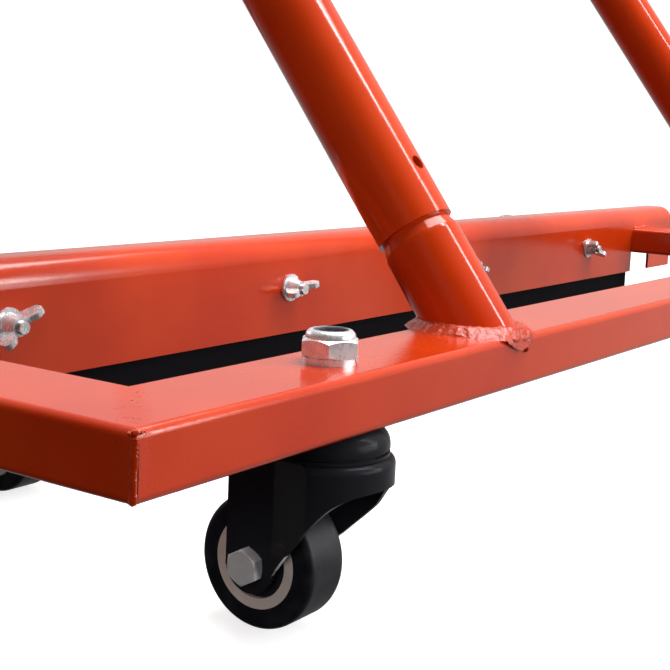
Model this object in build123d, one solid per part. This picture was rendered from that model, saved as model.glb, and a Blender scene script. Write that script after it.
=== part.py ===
from build123d import *
import os
from math import radians, degrees, sin, cos, tan, asin, hypot

# Portable gantry crane: two wheeled carriages, four leaning legs and an overhead beam.
# Millimetres, +Z up. X runs along the beam and the long rails, Y from carriage to carriage.
# The origin is on the floor under the middle of the crane.

# ---- overall sizes ----
base_length = 1280.0        # over the end rails, along X
base_width = 2000.0         # over the two outer rails, along Y
rail_top = 140.0            # floor to the top of the rails
leg_lean = 37.0             # lean of the legs from the vertical, in the YZ plane

# ---- rails ----
rail_w = 60.0
rail_h = 30.0
rail_wall = 3.0
rail_radius = 4.0

# ---- pressed guard plate and its rubber skirt ----
guard_depth = 290.0         # outer face of the carriage to the plate's web
guard_w = 40.0
guard_rise = 23.0           # top of the plate above the rail top
guard_drop = 54.0           # bottom edge of the plate below the rail top
guard_wall = 3.0
guard_radius = 18.0
guard_back_radius = 6.0
guard_lip = 13.0            # height of the turned-down back edge
guard_overhang = 75.0       # plate beyond the outer face of each end rail
skirt_wall = 4.0
skirt_top = -4.0            # from the rail top
skirt_bottom = -86.0
skirt_end_gap = 6.0

# ---- wing nut fasteners of the skirt ----
wing_pitch = 295.0
wing_height = -17.0         # from the rail top
wing_bolt_d = 8.0
wing_bolt_clearance = 0.5
wing_washer_d = 22.0
wing_washer_t = 1.6
wing_hub_d = 16.0
wing_hub_h = 10.0
wing_span = 36.0
wing_thick = 4.0
wing_rise = 16.0
wing_angles = (38.0, 12.0, -20.0, -28.0)
carriage_head_d = 19.0
carriage_head_h = 4.0
bolt_tail = 4.0

# ---- casters ----
outer_caster_inset = 170.0  # end of the carriage to the stem, on the outer rail
inner_caster_inset = 245.0  # the same on the inner rail
wheel_d = 70.0
wheel_w = 30.0
hub_d = 48.0
trail = 30.0
sweep_clearance = 3.0       # between a turning inner caster and the skirt's bolts
swivel_gap = 0.3
stem_d = 18.0
stem_hole_clearance = 0.4
kingpin_d = 14.0
running_gap = 0.05
race_d = 64.0
race_h = 14.3
race_dome_r = 9.0
race_groove_up = 1.8        # underside of the race to its groove
race_groove_w = 1.4
race_groove_depth = 1.6
crown_d = 70.0
crown_h = 13.6
fork_wall = 3.0
fork_gap = 1.5              # wheel side to fork leg
fork_back = 45.0            # stem axis to the back edge of the fork legs
fork_crease = 17.0          # stem axis to the bend where a flat leg turns into the flank
fork_flank = -12.0          # stem axis to where the flank meets the round crown
fork_crease_radius = 6.0
crown_radius = 4.0
fork_foot_r = 15.0
axle_d = 10.0
axle_head_af = 17.0
axle_head_h = 7.0
hub_rim = 5.5               # width of the raised rim on each face of the hub
hub_recess = 3.0
hub_boss_d = 22.0
hub_boss_drop = 1.0         # boss below the rim
hub_sleeve_d = 16.0
tread_radius = 4.0
lock_nut_af = 27.0
lock_nut_h = 9.0
lock_nut_collar = 4.2
spring_washer_d = 28.0
spring_washer_t = 3.2
lock_nut_turn = 32.0        # degrees from the X axis to a corner of the nut
lock_nut_collar_d = 25.0
lock_nut_collar_r = 3.5
stem_drop = 1.5             # stem end below the top of the lock nut
hex_chamfer = 0.09          # radial chamfer of a hexagon's corners, as a share of its width

# ---- legs, stubs and braces ----
leg_d = 48.3
leg_wall = 2.5
leg_inset = 318.0           # end of the carriage to each leg
leg_setback = 32.0          # outer face of the carriage to the leg axis at the rail top
stub_wall = 4.0
stub_shoulder = 59.0        # rail top to the shoulder, along the leg
stub_taper = 8.0
shoulder_radius = 6.0
stub_neck = 62.0            # neck above the taper
leg_gap = 1.0               # shoulder to the lower end of the leg
slip = 0.1
leg_hole_d = 9.0
leg_hole_up = 33.0          # lower end of the leg to the cross hole
brace_height = 560.0        # above the rail top
brace_d = 33.7
brace_wall = 2.6
collar_wall = 6.0
collar_h = 42.0
set_screw_af = 17.0
set_screw_h = 7.0

# ---- head ----
socket_wall = 5.5
socket_length = 160.0
socket_end = 112.0          # apex to the closed end of a socket, along the leg
socket_cap = 8.0
leg_end_gap = 3.0
head_plate_t = 12.0
head_plate_foot = 212.0     # apex to the lower edge of the plate
head_hole_d = 36.0
head_hole_drop = 135.0
saddle_drop = 54.0          # apex to the underside of the saddle
saddle_t = 10.0
saddle_x = 140.0
saddle_y = 110.0
beam_bolt_d = 10.0
beam_bolt_x = 100.0
beam_bolt_y = 44.0
beam_bolt_af = 16.0
beam_bolt_head_h = 6.5
beam_bolt_nut_h = 9.0
beam_bolt_tail = 5.0        # bolt end below its nut
bolt_clearance = 0.5
knee_drop = 46.0            # saddle to the knee in each side of the head plate

# ---- beam ----
beam_overhang = 128.0       # leg plane to the end of the beam
beam_h = 110.0
beam_w = 70.0
beam_web = 5.0
beam_flange = 7.0
beam_root_radius = 6.0

# ---- trolley and hook ----
trolley_wheel_d = 50.0
trolley_wheel_w = 22.0
trolley_flange_d = 58.0
trolley_flange_t = 3.0
trolley_wheel_base = 90.0
rail_gap = 0.2              # trolley wheel to the beam's flange, at rest
side_gap = 0.6
trolley_plate_t = 8.0
trolley_half = 75.0
trolley_foot = 70.0         # beam underside to the lower edge of the plates
trolley_top = 24.0          # wheel axis to the upper edge of the plates
trolley_waist = 22.0        # wheel axis down to where the plates start to narrow
trolley_toe = 28.0          # half the lower edge of the plates
trolley_corner_r = 10.0
trolley_pin_d = 12.0
trolley_cap_d = 18.0
trolley_cap_t = 3.0
trolley_head_af = 18.0
trolley_head_h = 8.0
load_bar_d = 22.0
load_bar_drop = 45.0
load_bar_end_d = 18.0       # threaded ends through the plates
load_bar_tail = 14.0        # bar end beyond the plates
load_nut_af = 27.0
load_nut_h = 12.0
yoke_w = 44.0
yoke_t = 24.0
yoke_window = 26.0
yoke_floor = 14.0
yoke_bridge = 8.0           # load bar to the window
yoke_cheek = 7.0
yoke_corner_r = 8.0
hook_shank_d = 16.0
hook_collar_d = 25.0
hook_wire_d = 16.0
hook_bowl_r = 27.0
hook_sweep = 205.0
latch_t = 3.0
latch_w = 12.0
latch_pin_d = 4.0
latch_barrel_d = 8.5
latch_ear_t = 3.0
latch_gap = 0.4
latch_tip_gap = 0.8

# ---- places worked out from the sizes above ----
half_length = base_length / 2
half_width = base_width / 2
up = (Align.CENTER, Align.CENTER, Align.MIN)
down = (Align.CENTER, Align.CENTER, Align.MAX)
rail_bottom = rail_top - rail_h
lean = radians(leg_lean)
leg_x = half_length - leg_inset
beam_length = 2 * (leg_x + beam_overhang)
leg_foot_y = half_width - leg_setback
apex_z = rail_top + leg_foot_y / tan(lean)
leg_reach = leg_foot_y / sin(lean)
leg_low = stub_shoulder + stub_taper + leg_gap
leg_high = leg_reach - socket_end - socket_cap - leg_end_gap
axle_z = wheel_d / 2
fork_inside = wheel_w / 2 + fork_gap
beam_bottom = apex_z - saddle_drop + saddle_t
skirt_depth = guard_depth + guard_wall
caster_sweep = hypot(trail + wheel_d / 2, wheel_w / 2)
stem_depth = skirt_depth + skirt_wall + carriage_head_h + sweep_clearance + caster_sweep
carriage_depth = stem_depth + rail_w / 2
sides = (("front", -1), ("rear", 1))
rows = ("outer", "inner")
ends = (("left", -1), ("right", 1))


def save(name, shapes):
    shapes = shapes if isinstance(shapes, list) else [shapes]
    solids = [solid for shape in shapes for solid in shape.solids()]
    whole = solids[0] if len(solids) == 1 else Compound(children=solids)
    whole.label = name
    export_step(whole, f"parts/{name}.step")


def mirrored(shape, side):
    """A carriage piece is drawn on the front side; the rear one is its mirror image."""
    return shape if side < 0 else mirror(shape, about=Plane.XZ)


def upright(x, y, z, d, h):
    """A vertical cylinder that stands on z."""
    return Pos(x, y, z) * Cylinder(d / 2, h, align=up)


def along_y(x, y, z, d, length):
    """A cylinder along Y that starts at y."""
    bar = Cylinder(d / 2, length, align=up)
    return Pos(x, y, z) * Rot(-90, 0, 0) * bar


def along_x(x, y, z, d, length):
    """A cylinder along X that starts at x."""
    bar = Cylinder(d / 2, length, align=up)
    return Pos(x, y, z) * Rot(0, 90, 0) * bar


def leg_frame(x, side, distance):
    """The frame on a leg's axis, its Z up the leg and its X along the rails."""
    y = side * (leg_foot_y - distance * sin(lean))
    return Pos(x, y, rail_top + distance * cos(lean)) * Rot(side * leg_lean, 0, 0)


def hex_prism(af, h):
    """A hexagon with its corners chamfered at both ends, standing on z = 0."""
    prism = extrude(RegularPolygon(af / 2, 6, major_radius=False), h)
    corner = af / 2 / cos(radians(30))
    flat = corner - hex_chamfer * af
    slope = hex_chamfer * af * tan(radians(30))
    outline = Polyline((0, 0), (flat, 0), (corner, slope), (corner, h - slope), (flat, h), (0, h),
                       close=True)
    return prism & revolve(Plane.XZ * make_face(outline), Axis.Z)


# ---- carriages ----
def hollow_rail(length):
    """A flat rectangular hollow section along X, centred."""
    outside = RectangleRounded(rail_w, rail_h, rail_radius)
    inside = RectangleRounded(rail_w - 2 * rail_wall, rail_h - 2 * rail_wall, rail_radius - rail_wall)
    return extrude(Plane.YZ * (outside - inside), length / 2, both=True)


def corner_wedge(end, row, keep_long):
    """The half of a mitred corner that is cut from a long rail or from an end rail."""
    w = rail_w + 10
    corner = (-10, w) if keep_long else (w, -10)
    points = []
    for u, v in ((-10, -10), corner, (w, w)):
        depth = v if row == "outer" else carriage_depth - v
        points.append((end * (half_length - u), -half_width + depth))
    face = make_face(Polyline(*points, close=True))
    return Pos(0, 0, rail_bottom - 5) * extrude(face, rail_h + 10, dir=(0, 0, 1))


def stem_places(row, side):
    """Where the casters' stems stand on a long rail, the left one first."""
    inset = outer_caster_inset if row == "outer" else inner_caster_inset
    depth = rail_w / 2 if row == "outer" else stem_depth
    return [(end * (half_length - inset), side * (half_width - depth)) for _, end in ends]


def long_rail(row, side):
    depth = rail_w / 2 if row == "outer" else stem_depth
    rail = Pos(0, -half_width + depth, rail_top - rail_h / 2) * hollow_rail(base_length)
    for _, end in ends:
        rail -= corner_wedge(end, row, True)
    for x, y in stem_places(row, -1):
        rail -= upright(x, y, rail_bottom - 5, stem_d + stem_hole_clearance, rail_h + 10)
    return mirrored(rail, side)


def end_rail(side, end):
    middle = -half_width + carriage_depth / 2
    rail = Pos(end * (half_length - rail_w / 2), middle, rail_top - rail_h / 2)
    rail = rail * Rot(0, 0, 90) * hollow_rail(carriage_depth)
    for row in rows:
        rail -= corner_wedge(end, row, False)
    return mirrored(rail, side)


def guard_plate(side):
    """A pressed plate with a large bend along its top, notched over the end rails."""
    h = guard_rise + guard_drop
    outside = Rectangle(guard_w, h)
    front, back = outside.vertices().group_by(Axis.Y)[-1].sort_by(Axis.X)
    outside = fillet(front, guard_radius)
    outside = fillet(outside.vertices().sort_by_distance(back.center())[0], guard_back_radius)
    inside = Pos(0, -guard_wall) * Rectangle(guard_w - 2 * guard_wall, h)
    front, back = inside.vertices().group_by(Axis.Y)[-1].sort_by(Axis.X)
    inside = fillet(front, guard_radius - guard_wall)
    inside = fillet(inside.vertices().sort_by_distance(back.center())[0], guard_back_radius - guard_wall)
    below_lip = Pos(guard_w / 2, -guard_lip) * Rectangle(4 * guard_wall, h)
    section = Plane.YZ * (outside - inside - below_lip)
    body = extrude(section, half_length + guard_overhang, both=True)
    body = Pos(0, -half_width + guard_depth + guard_w / 2, rail_top + guard_rise - h / 2) * body
    for _, end in ends:
        notch = Box(rail_w, 200, 200, align=down)
        x = end * (half_length - rail_w / 2)
        body -= Pos(x, -half_width + guard_depth, rail_top) * notch
    for x in wing_places():
        body -= along_y(x, -half_width + guard_depth - 5, rail_top + wing_height,
                        wing_bolt_d + wing_bolt_clearance, guard_wall + 10)
    return mirrored(body, side)


def wing_places():
    return [(i - 1.5) * wing_pitch for i in range(4)]


def toe_skirt(side):
    length = base_length - 2 * rail_w - 2 * skirt_end_gap
    place = Pos(0, -half_width + skirt_depth + skirt_wall / 2, rail_top + (skirt_top + skirt_bottom) / 2)
    skirt = place * Box(length, skirt_wall, skirt_top - skirt_bottom)
    for x in wing_places():
        start = -half_width + skirt_depth - 5
        skirt -= along_y(x, start, rail_top + wing_height, wing_bolt_d, skirt_wall + 10)
    return mirrored(skirt, side)


def wing_nut():
    """A wing nut along +Z, standing on z = 0."""
    hub = Cone(wing_hub_d / 2, wing_hub_d / 2 - 2, wing_hub_h, align=up)
    half = wing_span / 2
    outline = Polyline((2, 1), (half * 0.55, 1), (half, wing_rise * 0.55), (half, wing_rise),
                       (half * 0.62, wing_rise), (4, wing_hub_h - 1), (2, wing_hub_h - 1), close=True)
    wing = make_face(outline)
    wing = fillet(wing.vertices().filter_by(lambda v: v.X > half * 0.6), 3)
    wing = extrude(Plane.XZ * wing, wing_thick / 2, both=True)
    nut = hub + wing + Rot(0, 0, 180) * wing
    return nut - Cylinder(wing_bolt_d / 2, 60)


def wing_frame(x, side, angle):
    """The frame of a wing nut's bolt on the guard plate, Z pointing at the outer rail."""
    y = side * (half_width - guard_depth)
    return Pos(x, y, rail_top + wing_height) * Rot(90 if side < 0 else -90, 0, 0) * Rot(0, 0, angle)


def wing_fasteners(side):
    nuts, washers, bolts = [], [], []
    grip = guard_wall + skirt_wall
    for x, angle in zip(wing_places(), wing_angles):
        frame = wing_frame(x, side, angle)
        nuts.append(frame * Pos(0, 0, wing_washer_t) * wing_nut())
        ring = Cylinder(wing_washer_d / 2, wing_washer_t) - Cylinder(wing_bolt_d / 2, 10)
        washers.append(frame * Pos(0, 0, wing_washer_t / 2) * ring)
        shank = wing_washer_t + wing_hub_h + bolt_tail
        bolt = Pos(0, 0, -grip) * Cylinder(wing_bolt_d / 2, grip + shank, align=up)
        dome_r = (carriage_head_d ** 2 / 4 + carriage_head_h ** 2) / (2 * carriage_head_h)
        dome = Pos(0, 0, -grip + dome_r - carriage_head_h) * Sphere(dome_r)
        dome &= Pos(0, 0, -grip - 10) * Cylinder(dome_r, 20)
        bolts.append(frame * (bolt + dome))
    return nuts, washers, bolts


# ---- casters ----
race_top = rail_bottom
race_bottom = race_top - race_h
crown_top = race_bottom - swivel_gap
crown_bottom = crown_top - crown_h


def caster_stem():
    """The fixed stem: threaded shank, domed upper race and kingpin with its riveted end."""
    r = race_d / 2
    race = Pos(0, 0, race_bottom) * Cylinder(r, race_h, align=up)
    race = fillet(race.edges().sort_by(Axis.Z)[-1], race_dome_r)
    groove = Cylinder(r + 5, race_groove_w) - Cylinder(r - race_groove_depth, race_groove_w)
    race -= Pos(0, 0, race_bottom + race_groove_up + race_groove_w / 2) * groove
    top = rail_top + spring_washer_t + lock_nut_h + lock_nut_collar - stem_drop
    shank = upright(0, 0, race_top, stem_d, top - race_top)
    pin_low = crown_top - fork_wall - swivel_gap
    pin = upright(0, 0, pin_low, kingpin_d, race_bottom - pin_low)
    rivet = upright(0, 0, pin_low - 4, kingpin_d + 9, 4)
    return race + shank + pin + rivet


def lock_nut():
    """A hex nut with a domed locking collar."""
    base = rail_top + spring_washer_t
    nut = hex_prism(lock_nut_af, lock_nut_h)
    nut = Pos(0, 0, base) * Rot(0, 0, lock_nut_turn) * nut
    collar = upright(0, 0, base + lock_nut_h, lock_nut_collar_d, lock_nut_collar)
    collar = fillet(collar.edges().sort_by(Axis.Z)[-1], lock_nut_collar_r)
    return nut + collar - upright(0, 0, base - 5, stem_d, 40)


def spring_washer():
    ring = upright(0, 0, rail_top, spring_washer_d, spring_washer_t)
    ring -= upright(0, 0, rail_top - 1, stem_d + stem_hole_clearance, spring_washer_t + 2)
    slit = Rot(0, 0, -80) * Pos(spring_washer_d / 2, 0, rail_top + spring_washer_t / 2) * Rot(30, 0, 0)
    return ring - slit * Box(spring_washer_d, 1.2, 20)


def fork_plan(inset, back):
    """The fork from above: round over the kingpin, then flanks that turn into two flat legs."""
    leg = fork_inside + fork_wall - inset
    r = crown_d / 2 - inset
    flank = (r ** 2 - fork_flank ** 2) ** 0.5
    left = [(-flank, fork_flank), (-leg, fork_crease), (-leg, back)]
    right = [(-x, y) for x, y in reversed(left)]
    front = ThreePointArc((flank, fork_flank), (0, -r), (-flank, fork_flank))
    face = make_face([*Polyline(*left, *right).edges(), front])
    creases = [v for v in face.vertices() if abs(v.Y - fork_crease) < 0.01]
    return fillet(creases, fork_crease_radius)


def fork_side():
    """The fork from the side: a round foot and a front edge that sweeps up to the crown."""
    foot = Pos(trail, axle_z) * Circle(fork_foot_r)
    front = -crown_d / 2 - 5
    rise = crown_bottom - axle_z
    sweep = [(front, crown_bottom)]
    for along, share in ((-33, 0.995), (-26, 0.93), (-22, 0.865), (-14, 0.66), (-2.5, 0.385), (7, 0.17)):
        sweep.append((along, axle_z + share * rise))
    sweep.append((trail - fork_foot_r + 0.5, axle_z - 3))
    top = crown_top + 5
    rest = Polyline(sweep[-1], (trail + fork_foot_r, axle_z - 3), (fork_back, crown_bottom),
                    (fork_back, top), (front, top), sweep[0])
    return make_face([Spline(*sweep), *rest.edges()]) + foot


def fork():
    """A pressed shell over the kingpin, with two legs that reach back to the axle."""
    height = crown_top - axle_z + fork_foot_r
    low = Pos(0, 0, crown_top - height)
    body = low * extrude(fork_plan(0, fork_back), height)
    dome = low * Cylinder(crown_d / 2, height, align=up)
    dome = fillet(dome.edges().sort_by(Axis.Z)[-1], crown_radius)
    outside = 2 * (fork_inside + fork_wall)
    bridge = low * Pos(0, fork_back / 2, 0) * Box(outside, fork_back, height, align=up)
    bridge = fillet(bridge.edges().filter_by(Axis.Y).group_by(Axis.Z)[-1], crown_radius)
    body &= dome + bridge
    body -= low * extrude(fork_plan(fork_wall, fork_back + 20), height - fork_wall)
    body &= extrude(Plane.YZ * fork_side(), crown_d, both=True)
    body -= upright(0, 0, crown_bottom - 5, kingpin_d + 2 * running_gap, crown_h + 10)
    return body - along_x(-50, trail, axle_z, axle_d, 100)


def axle():
    """The wheel's bolt, with its hex head on the -X side and a nut on the other."""
    outside = fork_inside + fork_wall
    shank = along_x(-outside, trail, axle_z, axle_d, 2 * outside + axle_head_h + 3)
    head = Pos(-outside - axle_head_h, trail, axle_z) * Rot(0, 90, 0) * hex_prism(axle_head_af, axle_head_h)
    nut = Pos(outside, trail, axle_z) * Rot(0, 90, 0) * hex_prism(axle_head_af, axle_head_h)
    return shank + head + nut


def hub():
    """The wheel's centre: a dished disc with a raised rim, a boss and a sleeve for the axle bolt."""
    half = wheel_w / 2
    disc = along_x(-half, trail, axle_z, hub_d, wheel_w)
    for way in (-1, 1):
        start = half - hub_recess if way > 0 else -half
        ring = along_x(start, trail, axle_z, hub_d - 2 * hub_rim, hub_recess)
        start = start if way > 0 else start + hub_boss_drop
        boss = along_x(start, trail, axle_z, hub_boss_d, hub_recess - hub_boss_drop)
        disc -= ring - boss
    inside = fork_inside - swivel_gap
    disc += along_x(-inside, trail, axle_z, hub_sleeve_d, 2 * inside)
    return disc - along_x(-50, trail, axle_z, axle_d + 2 * running_gap, 100)


def tread():
    half = wheel_w / 2
    tyre = along_x(-half, trail, axle_z, wheel_d, wheel_w)
    tyre = fillet(tyre.edges().filter_by(GeomType.CIRCLE), tread_radius)
    return tyre - along_x(-50, trail, axle_z, hub_d, 100)


# ---- legs and head ----
def leg_stub(x, side):
    """A tube stub welded on the rail, swaged down to a neck that fits inside the leg."""
    r = leg_d / 2
    neck_r = r - leg_wall - slip
    low = -leg_d
    body = Pos(0, 0, low) * Cylinder(r, stub_shoulder - low, align=up)
    body += Pos(0, 0, stub_shoulder) * Cone(r, neck_r, stub_taper, align=up)
    body += Pos(0, 0, stub_shoulder + stub_taper) * Cylinder(neck_r, stub_neck, align=up)
    shoulder = body.edges().filter_by(GeomType.CIRCLE).sort_by_distance((r, 0, stub_shoulder))[0]
    body = fillet(shoulder, shoulder_radius)
    body = chamfer(body.edges().sort_by(Axis.Z)[-1], 1.5)
    body -= Pos(0, 0, low) * Cylinder(neck_r - stub_wall, 2 * leg_d + stub_shoulder + stub_neck, align=up)
    body -= Pos(0, 0, leg_low + leg_hole_up) * cross_hole(side)
    body = leg_frame(x, side, 0) * body
    below = Box(200, 200, 200, align=down)
    return body - Pos(x, side * leg_foot_y, rail_top) * below


def cross_hole(side):
    """The drilling through the outer side of a leg and its neck."""
    drill = Cylinder(leg_hole_d / 2, leg_d, align=up)
    return Rot(-90 * side, 0, 0) * drill


def leg(x, side):
    tube = Cylinder(leg_d / 2, leg_high - leg_low, align=up)
    tube -= Cylinder(leg_d / 2 - leg_wall, leg_high, align=up)
    tube -= Pos(0, 0, leg_hole_up) * cross_hole(side)
    return leg_frame(x, side, leg_low) * tube


socket_r = leg_d / 2 + slip + socket_wall


def head_socket(x, side):
    socket = Cylinder(socket_r, socket_length, align=down)
    socket = chamfer(socket.edges().group_by(Axis.Z)[-1], 2)
    bore = Cylinder(leg_d / 2 + slip, socket_length, align=down)
    return leg_frame(x, side, leg_reach - socket_end) * (socket - Pos(0, 0, -socket_cap) * bore)


def head_plate(x):
    """An upright plate coped round both sockets, with a saddle for the beam across its top."""
    foot_y = head_plate_foot * tan(lean)
    knee_y = (saddle_drop + knee_drop) * tan(lean)
    half = [(foot_y, -head_plate_foot), (knee_y, -saddle_drop - knee_drop), (saddle_y / 2, -saddle_drop)]
    outline = half + [(-y, z) for y, z in reversed(half)]
    face = make_face(Polyline(*outline, close=True))
    plate = extrude(Plane.YZ * face, head_plate_t / 2, both=True)
    plate -= along_x(-50, 0, -head_hole_drop, head_hole_d, 100)
    plate = Pos(x, 0, apex_z) * plate
    for _, side in sides:
        cope = Cylinder(socket_r, socket_length + 40, align=down)
        cope = chamfer(cope.edges().group_by(Axis.Z)[-1], 2)
        plate -= leg_frame(x, side, leg_reach - socket_end) * cope
    saddle = Pos(x, 0, apex_z - saddle_drop + saddle_t / 2) * Box(saddle_x, saddle_y, saddle_t)
    for dx, dy in beam_bolt_grid():
        saddle -= upright(x + dx, dy, beam_bottom - 40, beam_bolt_d + bolt_clearance, 80)
    return plate + saddle


def beam_bolt_grid():
    return [(i * beam_bolt_x / 2, j * beam_bolt_y / 2) for i in (-1, 1) for j in (-1, 1)]


def beam():
    """The overhead I-beam that the trolley runs on."""
    web_h = beam_h - 2 * beam_flange
    section = Pos(0, beam_h / 2) * Rectangle(beam_web, web_h)
    for y in (beam_flange / 2, beam_h - beam_flange / 2):
        section += Pos(0, y) * Rectangle(beam_w, beam_flange)
    roots = [v for v in section.vertices() if abs(abs(v.X) - beam_web / 2) < 0.01]
    section = fillet(roots, beam_root_radius)
    body = Pos(0, 0, beam_bottom) * extrude(Plane.YZ * section, beam_length / 2, both=True)
    for _, end in ends:
        for dx, dy in beam_bolt_grid():
            drill = upright(dx, dy, beam_bottom - 10, beam_bolt_d + bolt_clearance, beam_flange + 20)
            body -= Pos(end * leg_x, 0, 0) * drill
    return body


def beam_bolts():
    """Head above the beam's flange, nut under the saddle."""
    bolts = []
    for _, end in ends:
        for dx, dy in beam_bolt_grid():
            tail = saddle_t + beam_bolt_nut_h + beam_bolt_tail
            shank = Pos(0, 0, -tail) * Cylinder(beam_bolt_d / 2, beam_flange + tail, align=up)
            head = Pos(0, 0, beam_flange) * hex_prism(beam_bolt_af, beam_bolt_head_h)
            nut = Pos(0, 0, -saddle_t - beam_bolt_nut_h) * hex_prism(beam_bolt_af, beam_bolt_nut_h)
            bolts.append(Pos(end * leg_x + dx, dy, beam_bottom) * (shank + head + nut))
    return bolts


def cross_brace(x):
    """A level tube between the front and rear legs, with a clamping collar at each end."""
    distance = brace_height / cos(lean)
    span = 2 * (leg_foot_y - distance * sin(lean))
    z = rail_top + brace_height
    body = along_y(x, -span / 2, z, brace_d, span)
    for _, side in sides:
        collar_r = leg_d / 2 + slip + collar_wall
        body += leg_frame(x, side, distance) * Cylinder(collar_r, collar_h)
    body -= along_y(x, -span / 2 + leg_d, z, brace_d - 2 * brace_wall, span - 2 * leg_d)
    for _, side in sides:
        body -= leg_frame(x, side, distance) * Cylinder(leg_d / 2 + slip, collar_h * 3)
    return body


def set_screws():
    """One screw on the outer side of each brace collar."""
    screws = []
    distance = brace_height / cos(lean)
    out = leg_d / 2 + slip + collar_wall
    for _, end in ends:
        for _, side in sides:
            screw = Pos(0, 0, out) * hex_prism(set_screw_af, set_screw_h)
            screws.append(leg_frame(end * leg_x, side, distance) * Rot(-90 * side, 0, 0) * screw)
    return screws


# ---- trolley and hook ----
trolley_axle_z = beam_bottom + beam_flange + rail_gap + trolley_wheel_d / 2
plate_inside = beam_w / 2 + side_gap + trolley_flange_t + 1.5
load_bar_z = beam_bottom - load_bar_drop


def trolley_plate(side):
    top = trolley_axle_z + trolley_top
    waist = trolley_axle_z - trolley_waist
    foot = beam_bottom - trolley_foot
    outline = [(-trolley_half, top), (trolley_half, top), (trolley_half, waist),
               (trolley_toe, foot), (-trolley_toe, foot), (-trolley_half, waist)]
    face = make_face(Polyline(*outline, close=True))
    face = fillet(face.vertices(), trolley_corner_r)
    plate = extrude(Plane.XZ * face, -trolley_plate_t)
    for end in (-1, 1):
        plate -= along_y(end * trolley_wheel_base / 2, -50, trolley_axle_z, trolley_pin_d, 100)
    plate -= along_y(0, -50, load_bar_z, load_bar_end_d, 100)
    plate = Pos(0, plate_inside, 0) * plate
    return plate if side > 0 else mirror(plate, about=Plane.XZ)


def trolley_wheel(end, side):
    """A flanged wheel on the beam's lower flange."""
    x = end * trolley_wheel_base / 2
    start = beam_w / 2 - 1 - trolley_wheel_w
    wheel = along_y(x, start, trolley_axle_z, trolley_wheel_d, trolley_wheel_w + 1 + side_gap)
    wheel += along_y(x, beam_w / 2 + side_gap, trolley_axle_z, trolley_flange_d, trolley_flange_t)
    wheel -= along_y(x, 0, trolley_axle_z, trolley_pin_d + 2 * running_gap, 100)
    return wheel if side > 0 else mirror(wheel, about=Plane.XZ)


def trolley_pins():
    """Wheel pins with an inner cap and an outer hex head, and the load bar with a nut at each end."""
    pins = []
    start = beam_w / 2 - 1 - trolley_wheel_w
    outside = plate_inside + trolley_plate_t
    for end in (-1, 1):
        for _, side in sides:
            x = end * trolley_wheel_base / 2
            cap = start - trolley_cap_t
            pin = along_y(x, cap, trolley_axle_z, trolley_pin_d, outside - cap)
            pin += along_y(x, cap, trolley_axle_z, trolley_cap_d, trolley_cap_t - swivel_gap)
            head = hex_prism(trolley_head_af, trolley_head_h)
            pin += Pos(x, outside, trolley_axle_z) * Rot(-90, 0, 0) * head
            pins.append(pin if side > 0 else mirror(pin, about=Plane.XZ))
    bar = along_y(0, -plate_inside, load_bar_z, load_bar_d, 2 * plate_inside)
    reach = outside + load_bar_tail
    bar += along_y(0, -reach, load_bar_z, load_bar_end_d, 2 * reach)
    for way in (-1, 1):
        bar += Pos(0, way * outside, load_bar_z) * Rot(-90 * way, 0, 0) * hex_prism(load_nut_af, load_nut_h)
    pins.append(bar)
    return pins


yoke_low = load_bar_z - load_bar_d / 2 - yoke_bridge - yoke_window - yoke_floor
window_low = yoke_low + yoke_floor


def hook_yoke():
    """Hangs on the load bar and carries the swivelling hook in its floor."""
    h = load_bar_z - yoke_low
    body = Pos(0, 0, yoke_low + h / 2) * Box(yoke_w, yoke_t, h)
    body += along_y(0, -yoke_t / 2, load_bar_z, yoke_w, yoke_t)
    body = fillet(body.edges().filter_by(Axis.Y).group_by(Axis.Z)[0], yoke_corner_r)
    body -= along_y(0, -50, load_bar_z, load_bar_d + 2 * running_gap, 100)
    window = Box(yoke_w - 2 * yoke_cheek, 2 * yoke_t, yoke_window)
    body -= Pos(0, 0, window_low + yoke_window / 2) * window
    return body - upright(0, 0, yoke_low - 5, hook_shank_d + 2 * running_gap, yoke_floor + 10)


hook_start = yoke_low - 12
bow_half_x = hook_bowl_r / 2
bow_drop = 46.0
bow_r = (bow_half_x ** 2 + (bow_drop / 2) ** 2) / (2 * bow_half_x)
bow_turn = degrees(asin(bow_drop / 2 / bow_r))
bowl_z = hook_start - bow_drop
latch_x = hook_wire_d / 2 + 3.0
latch_z = hook_start - 12.0


def hook():
    """Shank with a collar in the yoke, an S-bend and a round bowl."""
    with BuildLine(Plane.XZ) as path:
        shank = Line((0, hook_start + 8), (0, hook_start))
        back = JernArc(shank @ 1, shank % 1, bow_r, -bow_turn)
        down = JernArc(back @ 1, back % 1, bow_r, bow_turn)
        JernArc(down @ 1, down % 1, hook_bowl_r, hook_sweep)
    wire = path.wires()[0]
    body = sweep(Plane(origin=wire @ 0, z_dir=wire % 0) * Circle(hook_wire_d / 2), path=wire)
    body += Pos(*(wire @ 1)) * Sphere(hook_wire_d / 2)
    body += upright(0, 0, hook_start + 6, hook_shank_d, window_low - hook_start)
    body += upright(0, 0, hook_start + 6, hook_collar_d - 3, yoke_low - swivel_gap - hook_start - 6)
    body += upright(0, 0, window_low + swivel_gap, hook_collar_d, yoke_window - 10)
    ear_y = latch_w / 2 + latch_gap
    for y in (-ear_y - latch_ear_t, ear_y):
        ear = along_y(latch_x, y, latch_z, latch_barrel_d, latch_ear_t)
        ear += Pos(latch_x / 2, y + latch_ear_t / 2, latch_z) * Box(latch_x, latch_ear_t, latch_barrel_d)
        body += ear
    room = latch_w + 2 * latch_gap
    body -= along_y(latch_x, -room / 2, latch_z, latch_barrel_d + 2 * latch_gap, room)
    return body + along_y(latch_x, -ear_y - latch_ear_t, latch_z, latch_pin_d, 2 * (ear_y + latch_ear_t))


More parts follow.
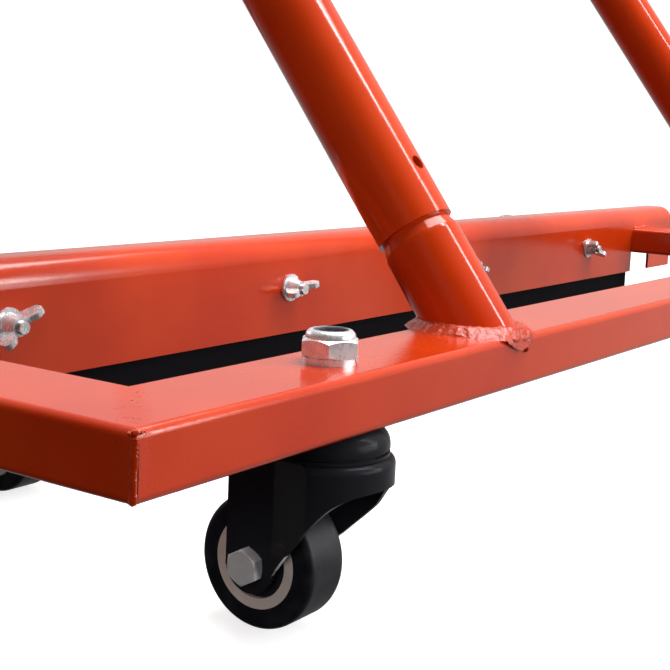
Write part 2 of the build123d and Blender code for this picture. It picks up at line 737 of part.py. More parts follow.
def hook_latch():
    """A sprung tongue from the ears to just inside the hook's tip."""
    turn = radians(hook_sweep - 180)
    tip_x, tip_z = hook_bowl_r * cos(turn), bowl_z + hook_bowl_r * sin(turn)
    dx, dz = tip_x - latch_x, tip_z - latch_z
    reach = hypot(dx, dz)
    clear = hook_wire_d / 2 + latch_t / 2 + latch_tip_gap
    lean_in = degrees(asin(clear / reach))
    heading = degrees(asin(-dz / reach)) + lean_in
    length = reach * cos(radians(lean_in)) + 4
    tongue = Pos(length / 2, 0, 0) * Box(length, latch_w, latch_t)
    body = Rot(0, heading, 0) * tongue
    body += along_y(0, -latch_w / 2, 0, latch_barrel_d, latch_w)
    body -= along_y(0, -50, 0, latch_pin_d + 2 * running_gap, 100)
    return Pos(latch_x, 0, latch_z) * body


def caster(row, side, x, y):
    """The outer casters trail under the carriage and the inner ones towards it."""
    turn = 0 if (row == "outer") == (side < 0) else 180
    place = Pos(x, y, 0) * Rot(0, 0, turn)
    return [place * piece() for piece in (fork, axle, hub, tread)]


def build():
    os.makedirs("parts", exist_ok=True)
    wing_groups = ([], [], [])
    stems, nuts, washers = [], [], []
    for name, side in sides:
        save(f"end_rails_{name}", [end_rail(side, end) for _, end in ends])
        save(f"guard_plate_{name}", guard_plate(side))
        save(f"toe_skirt_{name}", toe_skirt(side))
        save(f"leg_stubs_{name}", [leg_stub(end * leg_x, side) for _, end in ends])
        for group, made in zip(wing_groups, wing_fasteners(side)):
            group.extend(made)
        for end_name, end in ends:
            save(f"leg_{name}_{end_name}", leg(end * leg_x, side))
        for row in rows:
            save(f"{row}_rail_{name}", long_rail(row, side))
            for (end_name, _), (x, y) in zip(ends, stem_places(row, side)):
                fork_body, bolt, centre, tyre = caster(row, side, x, y)
                label = f"{name}_{row}_{end_name}"
                save(f"caster_fork_{label}", [fork_body, bolt])
                save(f"wheel_hub_{label}", centre)
                save(f"wheel_tread_{label}", tyre)
                stems.append(Pos(x, y, 0) * caster_stem())
                nuts.append(Pos(x, y, 0) * lock_nut())
                washers.append(Pos(x, y, 0) * spring_washer())
    for node, group in zip(("wing_nuts", "wing_washers", "skirt_bolts"), wing_groups):
        save(node, group)
    save("caster_stems", stems)
    save("lock_nuts", nuts)
    save("spring_washers", washers)
    for name, end in ends:
        save(f"head_plate_{name}", head_plate(end * leg_x))
        save(f"trolley_wheels_{name}", [trolley_wheel(end, side) for _, side in sides])
    save("head_sockets", [head_socket(end * leg_x, side) for _, end in ends for _, side in sides])
    save("cross_braces", [cross_brace(end * leg_x) for _, end in ends])
    save("beam", beam())
    save("frame_bolts", beam_bolts() + set_screws())
    for name, side in sides:
        save(f"trolley_plate_{name}", trolley_plate(side))
    save("trolley_pins", trolley_pins())
    save("hook_yoke", hook_yoke())
    save("hook", hook())
    save("hook_latch", hook_latch())


build()
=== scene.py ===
# %% [markdown]
# # A portable gantry crane
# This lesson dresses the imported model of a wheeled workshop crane. The frame holds every rail, leg,
# caster and hook in metres, so each new piece is placed by asking the frame where things are. We add
# what a drawing leaves out: paint, weld beads, grinding marks, threads and dust covers.

# %% Load the fixed frame
from math import atan2, cos, hypot, pi, radians, sin, tau

import bpy
from mathutils import Matrix, Vector, noise


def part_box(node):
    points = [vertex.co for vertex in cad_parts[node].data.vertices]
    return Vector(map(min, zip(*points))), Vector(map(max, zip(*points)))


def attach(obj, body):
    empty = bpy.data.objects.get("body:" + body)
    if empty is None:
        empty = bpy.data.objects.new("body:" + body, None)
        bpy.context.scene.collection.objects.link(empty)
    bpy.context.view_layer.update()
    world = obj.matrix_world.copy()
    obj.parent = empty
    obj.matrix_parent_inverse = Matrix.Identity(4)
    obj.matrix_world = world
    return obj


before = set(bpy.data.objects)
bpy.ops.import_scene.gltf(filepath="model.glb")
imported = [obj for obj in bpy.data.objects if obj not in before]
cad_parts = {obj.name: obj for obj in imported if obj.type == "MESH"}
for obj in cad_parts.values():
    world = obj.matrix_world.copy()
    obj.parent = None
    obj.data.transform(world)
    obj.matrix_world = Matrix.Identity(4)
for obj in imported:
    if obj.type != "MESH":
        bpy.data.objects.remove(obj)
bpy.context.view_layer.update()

# %% Sizes that the frame gives
MM = 0.001
rail_low, rail_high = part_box("outer_rail_front")
half_length, half_width = rail_high.x, -rail_low.y
rail_top, rail_bottom = rail_high.z, rail_low.z
rail_width, rail_height = rail_high.y - rail_low.y, rail_top - rail_bottom
carriage_back = -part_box("inner_rail_front")[1].y
nut_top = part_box("lock_nuts")[1].z
plate_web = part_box("guard_plate_front")[0].y
print("rail top at", round(rail_top, 4), "carriage depth", round(half_width - carriage_back, 4))

# %% Sizes taken from the drawing
LEAN = radians(37.0)
LEG_RADIUS = 24.15 * MM
LEG_SETBACK = 32 * MM
BRACE_RADIUS = 16.85 * MM
BRACE_HEIGHT = 560 * MM
BRACE_COLLAR = 35 * MM
SOCKET_RADIUS = 29.75 * MM
HEAD_PLATE_HALF = 6 * MM
WING_PITCH = 295 * MM
CASTER_TRAIL = 30 * MM
leg_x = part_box("leg_stubs_front")[1].x - LEG_RADIUS
leg_y = half_width - LEG_SETBACK

# %% [markdown]
# ## Shader maths as sentences
# A finish is a small web of nodes. Wrapping a socket in a class lets us write that web as sums and
# products, and one method makes every other node. It keeps each finish to a few readable lines.

# %% A socket that can be added and multiplied
class Wire:
    """One output of a node, used like a number."""

    def __init__(self, finish, socket):
        self.finish, self.socket = finish, socket

    def __add__(self, other):
        return self.finish.maths("ADD", self, other)

    def __sub__(self, other):
        return self.finish.maths("SUBTRACT", self, other)

    def __rsub__(self, other):
        return self.finish.maths("SUBTRACT", other, self)

    def __mul__(self, other):
        return self.finish.maths("MULTIPLY", self, other)

    def __abs__(self):
        return self.finish.maths("ABSOLUTE", self)

    def __mod__(self, other):
        return self.finish.maths("FLOORED_MODULO", self, other)

    __radd__, __rmul__ = __add__, __mul__


# %% A finish and its one node maker
class Finish:
    """A material that is built around one Principled shader."""

    def __init__(self, name, **constants):
        self.material = bpy.data.materials.new(name)
        self.material.use_nodes = True
        self.tree = self.material.node_tree
        self.shader = self.tree.nodes["Principled BSDF"]
        for socket, value in constants.items():
            self.shader.inputs[socket.replace("_", " ")].default_value = value
        self.place = self.node("ShaderNodeTexCoord", {}, {}, "Object")

    def node(self, kind, settings, inputs, output=0):
        made = self.tree.nodes.new(kind)
        for key, value in settings.items():
            setattr(made, key, value)
        for key, value in inputs.items():
            self.feed(made.inputs[key], value)
        return Wire(self, made.outputs[output])

    def feed(self, target, value):
        if isinstance(value, Wire):
            self.tree.links.new(value.socket, target)
        else:
            target.default_value = value

    def maths(self, operation, *values):
        return self.node("ShaderNodeMath", {"operation": operation}, dict(enumerate(values)))

    def noise(self, scale, detail=2.0, at=None):
        inputs = {"Vector": at or self.place, "Scale": scale, "Detail": detail}
        return self.node("ShaderNodeTexNoise", {}, inputs)

    def stretched(self, scale):
        settings = {"vector_type": "POINT"}
        return self.node("ShaderNodeMapping", settings, {"Vector": self.place, "Scale": scale})

    def step(self, value, low, high):
        """0 below low, 1 above high, smooth in between."""
        inputs = {"Value": value, "From Min": low, "From Max": high}
        return self.node("ShaderNodeMapRange", {"interpolation_type": "SMOOTHSTEP"}, inputs)

    def blend(self, factor, a, b):
        """From colour a to colour b."""
        inputs = {0: factor, 6: a, 7: b}
        return self.node("ShaderNodeMix", {"data_type": "RGBA"}, inputs, 2)

    def axes(self):
        split = self.node("ShaderNodeSeparateXYZ", {}, {"Vector": self.place})
        return [Wire(self, split.socket.node.outputs[i]) for i in range(3)]

    def relief(self, height, strength, distance):
        """Bumps the surface by a height field, which is what the light picks up as texture."""
        inputs = {"Height": height, "Strength": strength, "Distance": distance}
        self.set("Normal", self.node("ShaderNodeBump", {}, inputs))

    def set(self, socket, value):
        self.feed(self.shader.inputs[socket], value)


# %% [markdown]
# ## Powder coat
# The steelwork is powder coated in a hot orange-red. Cured powder is glossy but never quite flat: it
# keeps a fine orange peel, drifts a little in tone, and thins over edges; the recipe makes the peel
# and the drift only. One recipe makes the rails, the tubes and the weld beads, with rougher relief on
# the beads.

# %% The orange-red recipe
ORANGE_DEEP = (0.49, 0.028, 0.003, 1)
ORANGE_BRIGHT = (0.60, 0.048, 0.005, 1)
ORANGE_SPECK = (0.30, 0.014, 0.004, 1)
ORANGE_RUBBED = (0.42, 0.05, 0.02, 1)
ORANGE_GROUND = (0.06, 0.006, 0.004, 1)
PEEL_DEPTH = 0.4 * MM


def powder_coat(name, peel=0.16, gloss=0.13):
    finish = Finish(name, IOR=1.5)
    drift = finish.noise(7.0, 3.0)
    speck = finish.step(finish.noise(900.0, 1.0), 0.70, 0.76)
    colour = finish.blend(finish.step(drift, 0.3, 0.7), ORANGE_DEEP, ORANGE_BRIGHT)
    finish.colour = finish.blend(speck * 0.35, colour, ORANGE_SPECK)
    finish.set("Base Color", finish.colour)
    finish.rough = gloss + drift * 0.08
    finish.set("Roughness", finish.rough)
    finish.height = finish.noise(330.0, 2.0) + finish.noise(1500.0, 1.0) * 0.25
    finish.relief(finish.height, peel, PEEL_DEPTH)
    return finish


tube_paint = powder_coat("tube_paint", 0.07, 0.07)
plate_paint = powder_coat("plate_paint", 0.14)
print("powder coat:", len(tube_paint.tree.nodes), "nodes")

# %% [markdown]
# ## Ground mitres
# The rails meet in mitred corners that were welded and then ground flush, so the joint is only a band
# of short dark grinding marks. The band is found from the distance to the mitre line, and the marks
# are a chevron pattern, broken up by noise.

# %% Rail paint with grinding marks at the mitres
def rail_coat():
    finish = powder_coat("rail_paint", 0.14)
    x, y = finish.axes()[:2]
    along = half_length - abs(x)
    into = finish.maths("MINIMUM", half_width - abs(y), abs(y) - carriage_back)
    across = abs(along - into)
    warp = finish.noise(120.0, 3.0)
    wave = (along + into) * 70.0 + across * 55.0 + warp * 2.6
    line = 1.0 - finish.step(abs(wave % 1.0 - 0.5), 0.0, 0.07)
    broken = finish.step(finish.noise(210.0, 2.0), 0.52, 0.60)
    band = 1.0 - finish.step(across, 4.0 * MM, 13.0 * MM)
    marks = line * broken * band
    rub = band * finish.step(finish.noise(420.0, 4.0), 0.50, 0.72)
    colour = finish.blend(rub * 0.35, finish.colour, ORANGE_RUBBED)
    finish.set("Base Color", finish.blend(marks * 0.85, colour, ORANGE_GROUND))
    finish.set("Roughness", finish.rough + band * 0.10)
    finish.relief(finish.height - marks * 1.5 + rub * 0.8, 0.20, PEEL_DEPTH)
    return finish


rail_paint = rail_coat()

# %% Paint that lies thick over a weld
def bead_coat():
    finish = powder_coat("bead_paint")
    lumps = finish.noise(260.0, 4.0) * 2.2 + finish.noise(800.0, 3.0) * 0.6
    finish.set("Roughness", 0.10 + finish.noise(60.0) * 0.08)
    finish.relief(lumps, 0.55, 0.9 * MM)
    return finish


bead_paint = bead_coat()

# %% [markdown]
# ## Black, zinc, steel and rubber
# The casters are black enamel over pressed steel, the fasteners are bright zinc plate, and the wheels
# are a dark polyurethane tyre on a brown nylon centre. Each one gets its own grain at its own scale:
# fine pits in the enamel, cloudy roughness on the plating, and turned rings on the tyre.

# %% Black enamel
def enamel_coat():
    finish = Finish("black_gloss", IOR=1.5, Specular_IOR_Level=0.05)
    dust = finish.step(finish.noise(1300.0, 2.0), 0.66, 0.74)
    drift = finish.noise(30.0, 3.0)
    colour = finish.blend(drift, (0.013, 0.013, 0.016, 1), (0.023, 0.023, 0.028, 1))
    finish.set("Base Color", finish.blend(dust * 0.25, colour, (0.05, 0.05, 0.055, 1)))
    finish.set("Roughness", 0.17 + drift * 0.14)
    finish.relief(finish.noise(420.0, 2.0), 0.12, PEEL_DEPTH)
    return finish


black_gloss = enamel_coat()

# %% Zinc plate and bare steel
def plated(name, light, dark, rough, grain, metal=1.0):
    finish = Finish(name)
    finish.set("Metallic", metal)
    cloud = finish.noise(160.0, 4.0)
    scratch = finish.noise(1.0, 3.0, finish.stretched(grain))
    colour = finish.blend(finish.step(cloud, 0.35, 0.70), dark, light)
    finish.set("Base Color", colour)
    finish.set("Roughness", rough + cloud * 0.16 + scratch * 0.10)
    finish.relief(scratch + cloud * 0.5, 0.08, 0.15 * MM)
    return finish


zinc_plate = plated("zinc_plate", (0.93, 0.93, 0.94, 1), (0.74, 0.75, 0.78, 1), 0.14,
                    (900, 900, 260), 0.6)
bolt_zinc = plated("bolt_zinc", (0.96, 0.96, 0.96, 1), (0.86, 0.86, 0.88, 1), 0.35,
                   (500, 900, 900), 0.3)
bare_steel = plated("bare_steel", (0.56, 0.55, 0.54, 1), (0.30, 0.29, 0.28, 1), 0.20,
                    (700, 120, 700))
thread_steel = plated("thread_steel", (0.62, 0.62, 0.64, 1), (0.35, 0.36, 0.38, 1), 0.22,
                      (900, 900, 900))

# %% Tyre, wheel centre and skirt
def tyre_compound():
    finish = Finish("tyre_black", IOR=1.5, Specular_IOR_Level=0.24)
    scuff = finish.noise(70.0, 4.0)
    worn = finish.step(scuff, 0.4, 0.8)
    finish.set("Base Color", finish.blend(worn, (0.010, 0.010, 0.014, 1), (0.026, 0.026, 0.032, 1)))
    finish.set("Roughness", 0.34 + scuff * 0.22)
    rings = finish.noise(1.0, 2.0, finish.stretched((1500, 60, 60)))
    finish.relief(rings + scuff * 0.5, 0.20, 0.25 * MM)
    return finish


def nylon():
    finish = Finish("hub_brown", IOR=1.5)
    flow = finish.noise(90.0, 3.0)
    finish.set("Base Color", finish.blend(flow, (0.66, 0.54, 0.48, 1), (0.84, 0.72, 0.66, 1)))
    finish.set("Roughness", 0.32 + flow * 0.16)
    finish.relief(finish.noise(700.0, 2.0), 0.12, 0.2 * MM)
    return finish


def sheet_rubber():
    finish = Finish("skirt_black", Specular_IOR_Level=0.02)
    bloom = finish.noise(14.0, 4.0)
    finish.set("Base Color", finish.blend(bloom, (0.003, 0.003, 0.004, 1), (0.009, 0.008, 0.010, 1)))
    finish.set("Roughness", 0.55 + bloom * 0.2)
    ribs = finish.noise(1.0, 2.0, finish.stretched((60, 60, 900)))
    finish.relief(ribs, 0.18, 0.3 * MM)
    return finish


tyre_black, hub_brown, skirt_black = tyre_compound(), nylon(), sheet_rubber()
print("finishes:", len(bpy.data.materials))

# %% [markdown]
# ## Dressing the frame's own pieces
# A node's shape stays as drawn and only its finish changes. Three nodes hold two finishes each, so
# their faces are told apart by place: the axle bolt beside the fork, the thread above the caster's
# race, and the dark bearing cover inside the wheel's brown ring.

# %% One finish for each node
FINISHES = {
    "outer_rail": rail_paint, "inner_rail": rail_paint, "end_rails": rail_paint,
    "guard_plate": plate_paint, "head_plate": plate_paint, "beam": plate_paint,
    "leg": tube_paint, "head_sockets": tube_paint, "cross_braces": tube_paint,
    "toe_skirt": skirt_black, "caster": black_gloss, "trolley_plate": black_gloss,
    "hook_yoke": black_gloss, "wheel_hub": hub_brown, "wheel_tread": tyre_black,
    "trolley_wheels": bare_steel, "hook": bare_steel,
}


def finish_for(name):
    fitting = [key for key in FINISHES if name.startswith(key)]
    return FINISHES[max(fitting, key=len)] if fitting else zinc_plate


def dress(node, finish):
    node.data.materials.clear()
    node.data.materials.append(finish.material)
    node.data.polygons.foreach_set("material_index", [0] * len(node.data.polygons))


for name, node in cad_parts.items():
    dress(node, zinc_plate if name == "hook_latch" else finish_for(name))
print("dressed", len(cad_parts), "nodes")

# %% A second finish on part of a node
def second_finish(name, finish, belongs):
    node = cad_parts[name]
    node.data.materials.append(finish.material)
    slot = len(node.data.materials) - 1
    found = [face for face in node.data.polygons if belongs(face.center)]
    for face in found:
        face.material_index = slot
    return len(found)


def middle(name):
    low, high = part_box(name)
    return (low + high) / 2


CASTERS = [name[len("caster_fork_"):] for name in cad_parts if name.startswith("caster_fork_")]
SEAM = 0.2 * MM
STEM_END = 2 * MM


def on_thread(c):
    return rail_bottom + SEAM < c.z < nut_top - STEM_END


print("stems:", second_finish("caster_stems", zinc_plate, on_thread), "faces")

# %% Bearing covers and axle bolts
FORK_OUTSIDE = 19.6 * MM
COVER_RADIUS = 18.4 * MM
HEAD_REACH = 11 * MM
for caster in CASTERS:
    hub_middle = middle(f"wheel_tread_{caster}")

    def on_bolt(c):
        return abs(c.x - hub_middle.x) > FORK_OUTSIDE and c.z < hub_middle.z + HEAD_REACH

    def on_cover(c):
        return hypot(c.y - hub_middle.y, c.z - hub_middle.z) < COVER_RADIUS

    second_finish(f"caster_fork_{caster}", bolt_zinc, on_bolt)
    second_finish(f"wheel_hub_{caster}", black_gloss, on_cover)
print("casters:", len(CASTERS))

# %% [markdown]
# ## Helpers for new pieces
# A new piece starts from a primitive, is shaped, and is then settled: its place is applied into its
# mesh, it gets a finish and it rides on a body of the frame. The frame's nodes are left selected
# after loading, so everything is deselected first.

# %% Start and settle a piece
def begin(add, **sizes):
    bpy.ops.object.select_all(action="DESELECT")
    add(**sizes)
    return bpy.context.active_object


def only(piece):
    bpy.ops.object.select_all(action="DESELECT")
    piece.select_set(True)
    bpy.context.view_layer.objects.active = piece


def settle(piece, name, finish, body="frame", smooth=50):
    only(piece)
    bpy.ops.object.transform_apply(location=True, rotation=True, scale=True)
    bpy.ops.object.shade_smooth_by_angle(angle=radians(smooth))
    piece.name = piece.data.name = name
    piece.data.materials.clear()
    piece.data.materials.append(finish.material)
    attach(piece, body)
    return piece


def joined(pieces):
    only(pieces[0])
    for piece in pieces:
        piece.select_set(True)
    bpy.ops.object.join()
    return bpy.context.active_object


def outward(piece):
    only(piece)
    bpy.ops.object.mode_set(mode="EDIT")
    bpy.ops.mesh.select_all(action="SELECT")
    bpy.ops.mesh.normals_make_consistent(inside=False)
    bpy.ops.object.mode_set(mode="OBJECT")


def modified(piece, kind, **settings):
    only(piece)
    modifier = piece.modifiers.new(kind.title(), kind)
    for key, value in settings.items():
        setattr(modifier, key, value)
    bpy.ops.object.modifier_apply(modifier=modifier.name)
    return piece


# %% [markdown]
# ## Weld beads
# A leg stub is welded to the rail all the way round. A bead is a string of overlapping drops, so a
# torus makes the ring, and its tube swells and shrinks along the way with a little noise on top.
# Moving the points in code is the quickest way to get ripples that never repeat.

# %% A rippled ring
def weld_ring(radius, stretch, bead, drops, seed):
    ring = begin(bpy.ops.mesh.primitive_torus_add, major_segments=168, minor_segments=14,
                 major_radius=radius, minor_radius=bead)
    for point in ring.data.vertices:
        turn = atan2(point.co.y, point.co.x)
        spine = Vector((radius * cos(turn), radius * sin(turn), 0))
        arm = point.co - spine
        hollow = 0.62 * abs(arm.xy.length * arm.z) / arm.length_squared
        swell = 1.0 - hollow + 0.022 * sin(drops * turn + 1.4 * sin(2 * turn + seed))
        lump = noise.noise(point.co * 120 + Vector((seed, 0, 0)))
        fine = noise.noise(point.co * 420 + Vector((0, seed, 0)))
        point.co = spine + arm * (swell + 0.12 * lump + 0.05 * fine)
    ring.scale.y = stretch
    return ring


# %% A rippled straight bead, standing on its end
def weld_line(length, bead, drops, seed):
    line = begin(bpy.ops.mesh.primitive_cylinder_add, vertices=14, radius=bead, depth=length)
    bpy.ops.object.mode_set(mode="EDIT")
    bpy.ops.mesh.select_all(action="DESELECT")
    bpy.ops.object.mode_set(mode="OBJECT")
    for edge in line.data.edges:
        a, b = (line.data.vertices[i].co for i in edge.vertices)
        edge.select = abs(a.z - b.z) > length / 2
    bpy.ops.object.mode_set(mode="EDIT")
    bpy.ops.mesh.subdivide(number_cuts=max(8, int(length / (0.9 * MM))))
    bpy.ops.object.mode_set(mode="OBJECT")
    for point in line.data.vertices:
        ends = min(1.0, (length / 2 - abs(point.co.z)) / (1.2 * bead) + 0.25)
        swell = ends * (1 + 0.13 * sin(drops * tau * point.co.z / length + seed))
        lump = 0.34 * noise.noise(point.co * 240 + Vector((seed, seed, 0)))
        point.co.x *= swell + lump
        point.co.y *= swell + lump
    return line


# %% A blob of weld
def weld_blob(place, size, seed):
    blob = begin(bpy.ops.mesh.primitive_ico_sphere_add, subdivisions=3, radius=1.0, location=place)
    for point in blob.data.vertices:
        point.co *= 1 + 0.25 * noise.noise(point.co * 1.3 + Vector((seed, seed, seed)))
    blob.scale = size
    return blob


# %% Beads round the leg stubs, with a run over the rail's outer edge
BEAD = 8.5 * MM
EDGE_LAP = 1.0 * MM
DRIPS = ((9, 2.0, 5.5, 4.6), (2, 1.0, 5.0, 2.8), (-8, 0.6, 5.0, 2.2), (7, 6.5, 2.2, 3.4))
seed = 1.0
for side, sign in (("front", -1), ("rear", 1)):
    for end, way in (("left", -1), ("right", 1)):
        seed += 1.7
        bead = weld_ring(LEG_RADIUS - 0.5 * MM, 1 / cos(LEAN), BEAD, 38, seed)
        bead.location = (way * leg_x, sign * leg_y, rail_top - 0.4 * MM)
        bead.scale.z = 0.85
        only(bead)
        bpy.ops.object.transform_apply(location=True, rotation=True, scale=True)
        for point in bead.data.vertices:
            excess = max(0.0, abs(point.co.y) - half_width - EDGE_LAP)
            point.co.y -= sign * 0.8 * excess
            point.co.z -= 0.9 * excess
        edge = sign * (half_width + 0.2 * MM)
        drips = [weld_blob((way * leg_x + dx * MM, edge, rail_top - drop * MM),
                           (w * MM, 2.4 * MM, h * MM), seed + dx)
                 for dx, drop, w, h in DRIPS]
        settle(joined([bead] + drips), f"stub_weld_{side}_{end}", bead_paint)
print("stub welds round", round(leg_x, 4), round(leg_y, 4))

# %% [markdown]
# ## The mitred corners
# Down each outer corner runs a narrow unfilled slit beside a rough bead, and the bead ends in a few
# small blobs on the top. The shade inside the open slit is painted: a thin dark strip stands a hair
# proud of the rail.

# %% Painted slit shade, bead and blobs on every corner
# Painted shade: a near-black colour that stands in for the shadow inside the open slit.
slit_painted_shade = Finish("slit_painted_shade", IOR=1.4)
gap_shade_colour = slit_painted_shade.blend(slit_painted_shade.noise(500.0), (0.004, 0.002, 0.002, 1), (0.03, 0.006, 0.004, 1))
slit_painted_shade.set("Base Color", gap_shade_colour)
slit_painted_shade.set("Roughness", 0.5 + slit_painted_shade.noise(300.0) * 0.3)
LUMPS = ((1.0, 0.8, 1.0, 1.8), (3.2, 0.7, 1.1, 1.4), (5.4, 1.0, 1.2, 1.0), (0.6, 2.6, 1.8, 1.5))
rail_middle = rail_bottom + rail_height / 2
corners = [(way, sign, row) for way in (-1, 1) for sign in (-1, 1) for row in ("outer", "inner")]
for number, (way, sign, row) in enumerate(corners, 1):
    face = half_width if row == "outer" else carriage_back
    inward = -1 if row == "outer" else 1
    x, y = way * half_length, sign * face
    line = weld_line(rail_height - 3 * MM, 1.15 * MM, 15, number * 1.3)
    line.location = (x - way * 0.2 * MM, y + sign * inward * 0.8 * MM, rail_middle - 0.8 * MM)
    line.scale.y = 1.7
    thin = weld_line(rail_height - 7 * MM, 0.45 * MM, 9, number * 2.1)
    thin.location = (x - way * 0.9 * MM, y, rail_middle - 1 * MM)
    lumps = [weld_blob((x - way * dx * MM, y + sign * inward * dy * MM, rail_top - drop * MM),
                       (r * MM, r * MM, 0.75 * r * MM), number + dx)
             for dx, dy, drop, r in LUMPS]
    settle(joined([line, thin] + lumps), f"corner_weld_{number}", bead_paint)
    # The painted shade of the slit, as a thin dark strip a hair proud of the rail face.
    slit = begin(bpy.ops.mesh.primitive_cube_add, size=1.0)
    slit.scale = (0.9 * MM, 0.3 * MM, rail_height - 8 * MM)
    slit.location = (x - way * 1.9 * MM, y, rail_middle - 0.8 * MM)
    modified(slit, "BEVEL", width=0.3, segments=2)
    settle(slit, f"corner_slit_shade_{number}", slit_painted_shade)
print("corners:", len(corners))

# %% Fillets in the inner corners of each carriage
for number, (way, sign, row) in enumerate(corners, 1):
    face = half_width - rail_width if row == "outer" else carriage_back + rail_width
    line = weld_line(rail_height - 2 * MM, 3.0 * MM, 11, number * 0.7)
    line.location = (way * (half_length - rail_width), sign * face, rail_middle - 1.2 * MM)
    settle(line, f"inner_corner_weld_{number}", bead_paint)

# %% Dabs where the guard plates cross the end rails
DAB = 38 * MM
quarters = [(way, sign) for way in (-1, 1) for sign in (-1, 1)]
for number, (way, sign) in enumerate(quarters, 1):
    dab = weld_line(DAB, 2.6 * MM, 7, number * 3.1)
    dab.rotation_euler.y = pi / 2
    dab.location = (way * (half_length - DAB), -sign * plate_web, rail_top + 0.4 * MM)
    settle(dab, f"plate_weld_{number}", bead_paint)

# %% [markdown]
# ## The head's welds
# Each head plate is coped round two sockets and carries the saddle. Long beads run down both sides of
# the plate along the sockets.

# %% Beads along the sockets
SOCKET_BEAD = 112 * MM
SOCKET_BEAD_FROM_APEX = 190 * MM
apex_z = rail_top + leg_y / (sin(LEAN) / cos(LEAN))
plate_sides = [(way, sign, face) for way, sign in quarters for face in (-1, 1)]
for number, (way, sign, face) in enumerate(plate_sides, 1):
    bead = weld_line(SOCKET_BEAD, 2.8 * MM, 22, number * 1.9)
    bead.rotation_euler.x = sign * LEAN
    inset = (SOCKET_RADIUS ** 2 - HEAD_PLATE_HALF ** 2) ** 0.5
    y = sign * (SOCKET_BEAD_FROM_APEX * sin(LEAN) - inset * cos(LEAN))
    z = apex_z - SOCKET_BEAD_FROM_APEX * cos(LEAN) - inset * sin(LEAN)
    bead.location = (way * leg_x + face * HEAD_PLATE_HALF, y, z)
    settle(bead, f"socket_weld_{number}", bead_paint)

# %% Beads round the brace collars
brace_reach = leg_y - BRACE_HEIGHT * sin(LEAN) / cos(LEAN)
for number, (way, sign) in enumerate(quarters, 1):
    ring = weld_ring(BRACE_RADIUS + 0.3 * MM, 1.0, 3.2 * MM, 22, number * 4.3)
    ring.rotation_euler.x = pi / 2
    ring.location = (way * leg_x, sign * (brace_reach - BRACE_COLLAR), rail_top + BRACE_HEIGHT)
    settle(ring, f"brace_weld_{number}", bead_paint)
print("head and brace welds made")

# %% [markdown]
# ## Threads and lock rings
# The wing nuts' bolts show a few turns of thread. A small triangle on the bolt's
# skin, wound up with a Screw modifier, gives real ridges. The lock nuts also hold a nylon ring.

# %% A wound thread
def thread(radius, pitch, length):
    tooth = begin(bpy.ops.mesh.primitive_circle_add, vertices=3, radius=0.55 * pitch,
                  fill_type="NGON", location=(radius, 0, 0), rotation=(pi / 2, 0, 0))
    bpy.ops.object.transform_apply(location=True, rotation=True, scale=True)
    modified(tooth, "SCREW", axis="Z", screw_offset=pitch, iterations=int(length / pitch),
             steps=20, render_steps=20, use_merge_vertices=True)
    outward(tooth)
    return tooth


# %% Threads on the skirt bolts
THREAD_RADIUS = 3.75 * MM
THREAD_PITCH = 1.25 * MM
THREAD_START = 11.4 * MM
wing_z = middle("wing_washers").z
for number in range(8):
    sign = -1 if number < 4 else 1
    turns = thread(THREAD_RADIUS, THREAD_PITCH, 3 * THREAD_PITCH)
    turns.rotation_euler.x = pi / 2 if sign < 0 else -pi / 2
    x = (number % 4 - 1.5) * WING_PITCH
    turns.location = (x, sign * (THREAD_START - plate_web), wing_z)
    settle(turns, f"bolt_thread_{number + 1}", thread_steel, smooth=20)

# %% Nylon rings in the lock nuts
nylon_ring = Finish("nylon_ring", IOR=1.5)
cloudy = nylon_ring.blend(nylon_ring.noise(300.0), (0.10, 0.11, 0.14, 1), (0.25, 0.26, 0.30, 1))
nylon_ring.set("Base Color", cloudy)
nylon_ring.set("Roughness", 0.35 + nylon_ring.noise(400.0) * 0.2)
for caster in CASTERS:
    ring = begin(bpy.ops.mesh.primitive_torus_add, major_segments=48, minor_segments=10,
                 major_radius=9.3 * MM, minor_radius=0.7 * MM)
    tread = middle(f"wheel_tread_{caster}")
    toward = 1 if ("outer" in caster) == ("front" in caster) else -1
    ring.location = (tread.x, tread.y - toward * CASTER_TRAIL, nut_top - 0.8 * MM)
    settle(ring, f"lock_ring_{caster}", nylon_ring)
print("threads and rings made")

# %% [markdown]
# ## Stage, light and camera
# The floor and the backdrop are pale and plain, and the floor fades into the backdrop with distance.
# A large soft light hangs overhead, a tall strip on the right draws the long highlights on the tubes,
# and a weak fill on the left lifts the end faces without showing in the gloss.

# %% Pale floor and backdrop
def glow(name, colour, strength):
    finish = Finish(name)
    finish.set("Base Color", (0, 0, 0, 1))
    finish.set("Emission Color", colour)
    finish.set("Emission Strength", strength)
    finish.set("Specular IOR Level", 0.0)
    return finish


floor = begin(bpy.ops.mesh.primitive_circle_add, vertices=128, radius=30.0, fill_type="NGON")
floor.name = "floor"
floor_white = Finish("floor_white")
distance = floor_white.node("ShaderNodeVectorMath", {"operation": "LENGTH"}, {0: floor_white.place}, 1)
far = floor_white.step(distance, 2.0, 9.0)
floor_white.set("Base Color", floor_white.blend(far, (0.55, 0.55, 0.55, 1), (0, 0, 0, 1)))
floor_white.set("Roughness", 0.9)
floor_white.set("Emission Color", floor_white.blend(far, (0.75, 0.75, 0.75, 1), (1.05, 1.05, 1.05, 1)))
floor_white.set("Emission Strength", 1.0)
floor.data.materials.append(floor_white.material)
dome = begin(bpy.ops.mesh.primitive_uv_sphere_add, segments=64, ring_count=32, radius=40.0)
dome.name = "backdrop"
dome.data.materials.append(glow("backdrop_white", (1, 1, 1, 1), 1.05).material)
for stage in (floor, dome):
    stage.visible_shadow = stage.visible_diffuse = stage.visible_glossy = False

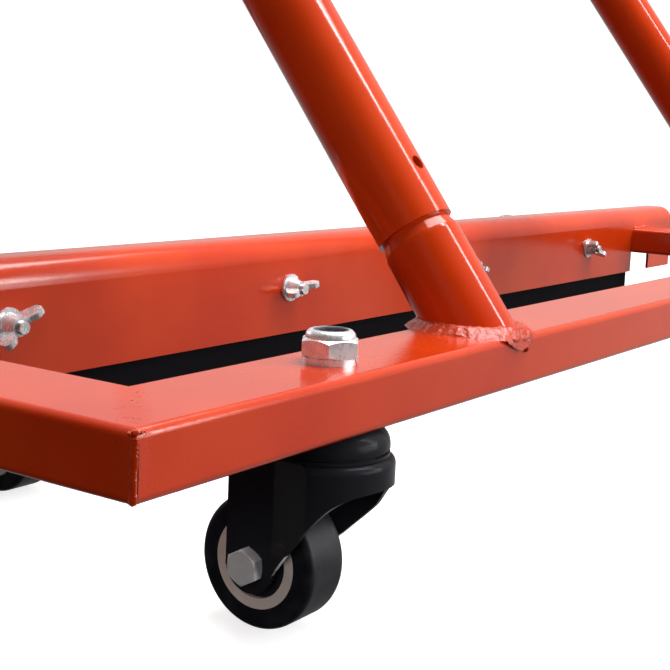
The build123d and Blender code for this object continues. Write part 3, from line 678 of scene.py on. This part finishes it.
# %% Studio surroundings
world = bpy.data.worlds.new("studio")
bpy.context.scene.world = world
world.use_nodes = True
nodes, links = world.node_tree.nodes, world.node_tree.links
background = nodes["Background"]
place = nodes.new("ShaderNodeTexCoord")
ramp_in = nodes.new("ShaderNodeVectorMath")
ramp_in.operation = "DOT_PRODUCT"
ramp_in.inputs[1].default_value = (0.88, 0.20, 0.42)
ramp = nodes.new("ShaderNodeValToRGB")
dark, pale = ramp.color_ramp.elements
dark.position, dark.color = 0.38, (0.01, 0.01, 0.01, 1)
pale.position, pale.color = 0.95, (0.72, 0.70, 0.68, 1)
shift = nodes.new("ShaderNodeMath")
shift.operation = "MULTIPLY_ADD"
shift.inputs[1].default_value, shift.inputs[2].default_value = 0.5, 0.5
links.new(place.outputs["Generated"], ramp_in.inputs[0])
links.new(ramp_in.outputs["Value"], shift.inputs[0])
links.new(shift.outputs[0], ramp.inputs[0])
links.new(ramp.outputs[0], background.inputs["Color"])
background.inputs["Strength"].default_value = 0.9

# %% Soft lights
def soft_light(name, place, aim, size, power):
    lamp = bpy.data.lights.new(name, "AREA")
    lamp.shape, lamp.size, lamp.size_y, lamp.energy = "RECTANGLE", size[0], size[1], power
    holder = bpy.data.objects.new(name, lamp)
    bpy.context.scene.collection.objects.link(holder)
    holder.location = place
    holder.rotation_euler = (Vector(aim) - Vector(place)).to_track_quat("-Z", "Y").to_euler()
    holder.visible_camera = False
    return holder


middle_of_front = Vector((-0.2, -0.9, 0.15))
soft_light("overhead", (1.0, -0.9, 4.1), (0, -0.3, 0), (3.0, 3.4), 255)
soft_light("right_strip", (1.42, -2.75, 2.25), middle_of_front, (0.27, 3.6), 48)
left_fill = soft_light("left_fill", (-4.2, -2.4, 1.5), middle_of_front, (2.6, 2.2), 52)
left_fill.visible_glossy = False
soft_light("front_fill", (1.2, -4.2, 0.9), middle_of_front, (2.6, 1.8), 80)
soft_light("back_fill", (0.5, 4.5, 2.2), (0, 0.5, 0.5), (3.0, 2.0), 40)

# %% Camera
YAW, PITCH, ROLL = 0.593645, 0.135679, 0.045178
EYE_FROM_CORNER = Vector((-351.92, -323.79, 116.47)) * MM
forward = Vector((cos(PITCH) * cos(YAW), cos(PITCH) * sin(YAW), -sin(PITCH)))
right = Vector((sin(YAW), -cos(YAW), 0))
up = right.cross(forward)
right, up = cos(ROLL) * right + sin(ROLL) * up, -sin(ROLL) * right + cos(ROLL) * up
eye = Vector((-half_length, -half_width, rail_top)) + EYE_FROM_CORNER
lens = bpy.data.cameras.new("camera")
lens.sensor_width, lens.lens, lens.shift_y = 36.0, 70.33, -0.0515
lens.clip_start, lens.clip_end = 0.05, 200.0
camera = bpy.data.objects.new("camera", lens)
bpy.context.scene.collection.objects.link(camera)
turn = Matrix((right, up, -forward)).transposed()
camera.matrix_world = Matrix.Translation(eye) @ turn.to_4x4()
bpy.context.scene.camera = camera
bpy.context.scene.view_settings.view_transform = "Standard"
print("camera at", [round(v, 3) for v in eye])
